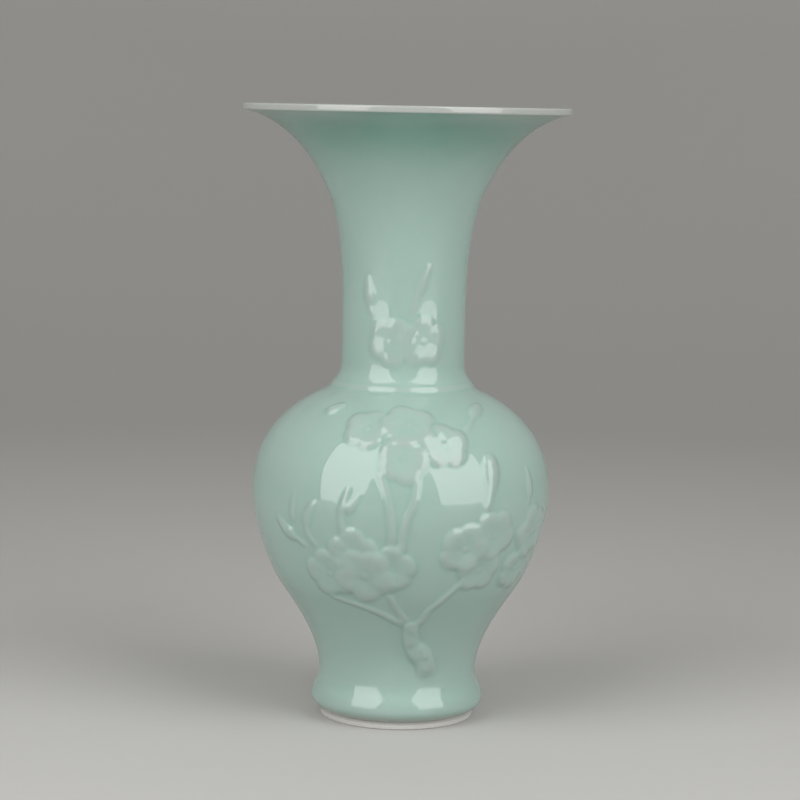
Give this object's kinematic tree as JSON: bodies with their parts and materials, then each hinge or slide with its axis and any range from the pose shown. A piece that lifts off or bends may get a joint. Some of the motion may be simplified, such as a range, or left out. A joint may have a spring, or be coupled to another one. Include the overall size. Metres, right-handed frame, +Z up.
{
  "type": "vase",
  "caption": "Celadon porcelain vase with a trumpet mouth, straight neck with a bowstring collar, baluster body, splayed foot and plum blossom in applied relief.",
  "frame": {"origin": "middle of the circle that the foot ring stands on", "axes": "+Z up through the mouth, -Y towards the side with the full spray of blossom, +X to the right of that side"},
  "size_m": [0.1598, 0.1598, 0.3],
  "materials": {
    "celadon_glaze": "gloss",
    "relief_glaze": "gloss",
    "bare_porcelain": "matte"
  },
  "bodies": {
    "root": {"foot": "celadon_glaze", "lower_body": "celadon_glaze", "upper_body": "celadon_glaze", "trumpet_neck": "celadon_glaze", "waist_slip": "bare_porcelain", "belly_slip": "bare_porcelain", "neck_slip": "bare_porcelain", "branch_left": "relief_glaze", "branch_middle": "relief_glaze", "branch_right": "relief_glaze", "bud_left_edge": "relief_glaze", "bud_left_inner": "relief_glaze", "bud_left_slim": "relief_glaze", "bud_right_half_open": "relief_glaze", "bud_right_pointed": "relief_glaze", "left_blossom_back": "relief_glaze", "left_blossom_front": "relief_glaze", "left_blossom_outer": "relief_glaze", "left_blossom_right": "relief_glaze", "left_group_bud": "relief_glaze", "neck_blossom_left": "relief_glaze", "neck_blossom_right": "relief_glaze", "neck_bud_left": "relief_glaze", "neck_shoot_right": "relief_glaze", "right_blossom_front": "relief_glaze", "right_blossom_lower": "relief_glaze", "right_blossom_upper": "relief_glaze", "shoot_left_inner": "relief_glaze", "shoot_left_outer": "relief_glaze", "shoot_middle_left": "relief_glaze", "shoot_middle_right": "relief_glaze", "shoulder_blossom_left": "relief_glaze", "shoulder_blossom_lower": "relief_glaze", "shoulder_blossom_middle": "relief_glaze", "shoulder_blossom_right": "relief_glaze", "shoulder_bud_left": "relief_glaze", "shoulder_bud_right": "relief_glaze", "side_blossom_lower": "relief_glaze", "side_blossom_upper": "relief_glaze", "trunk": "relief_glaze"}
  },
  "joints": []
}
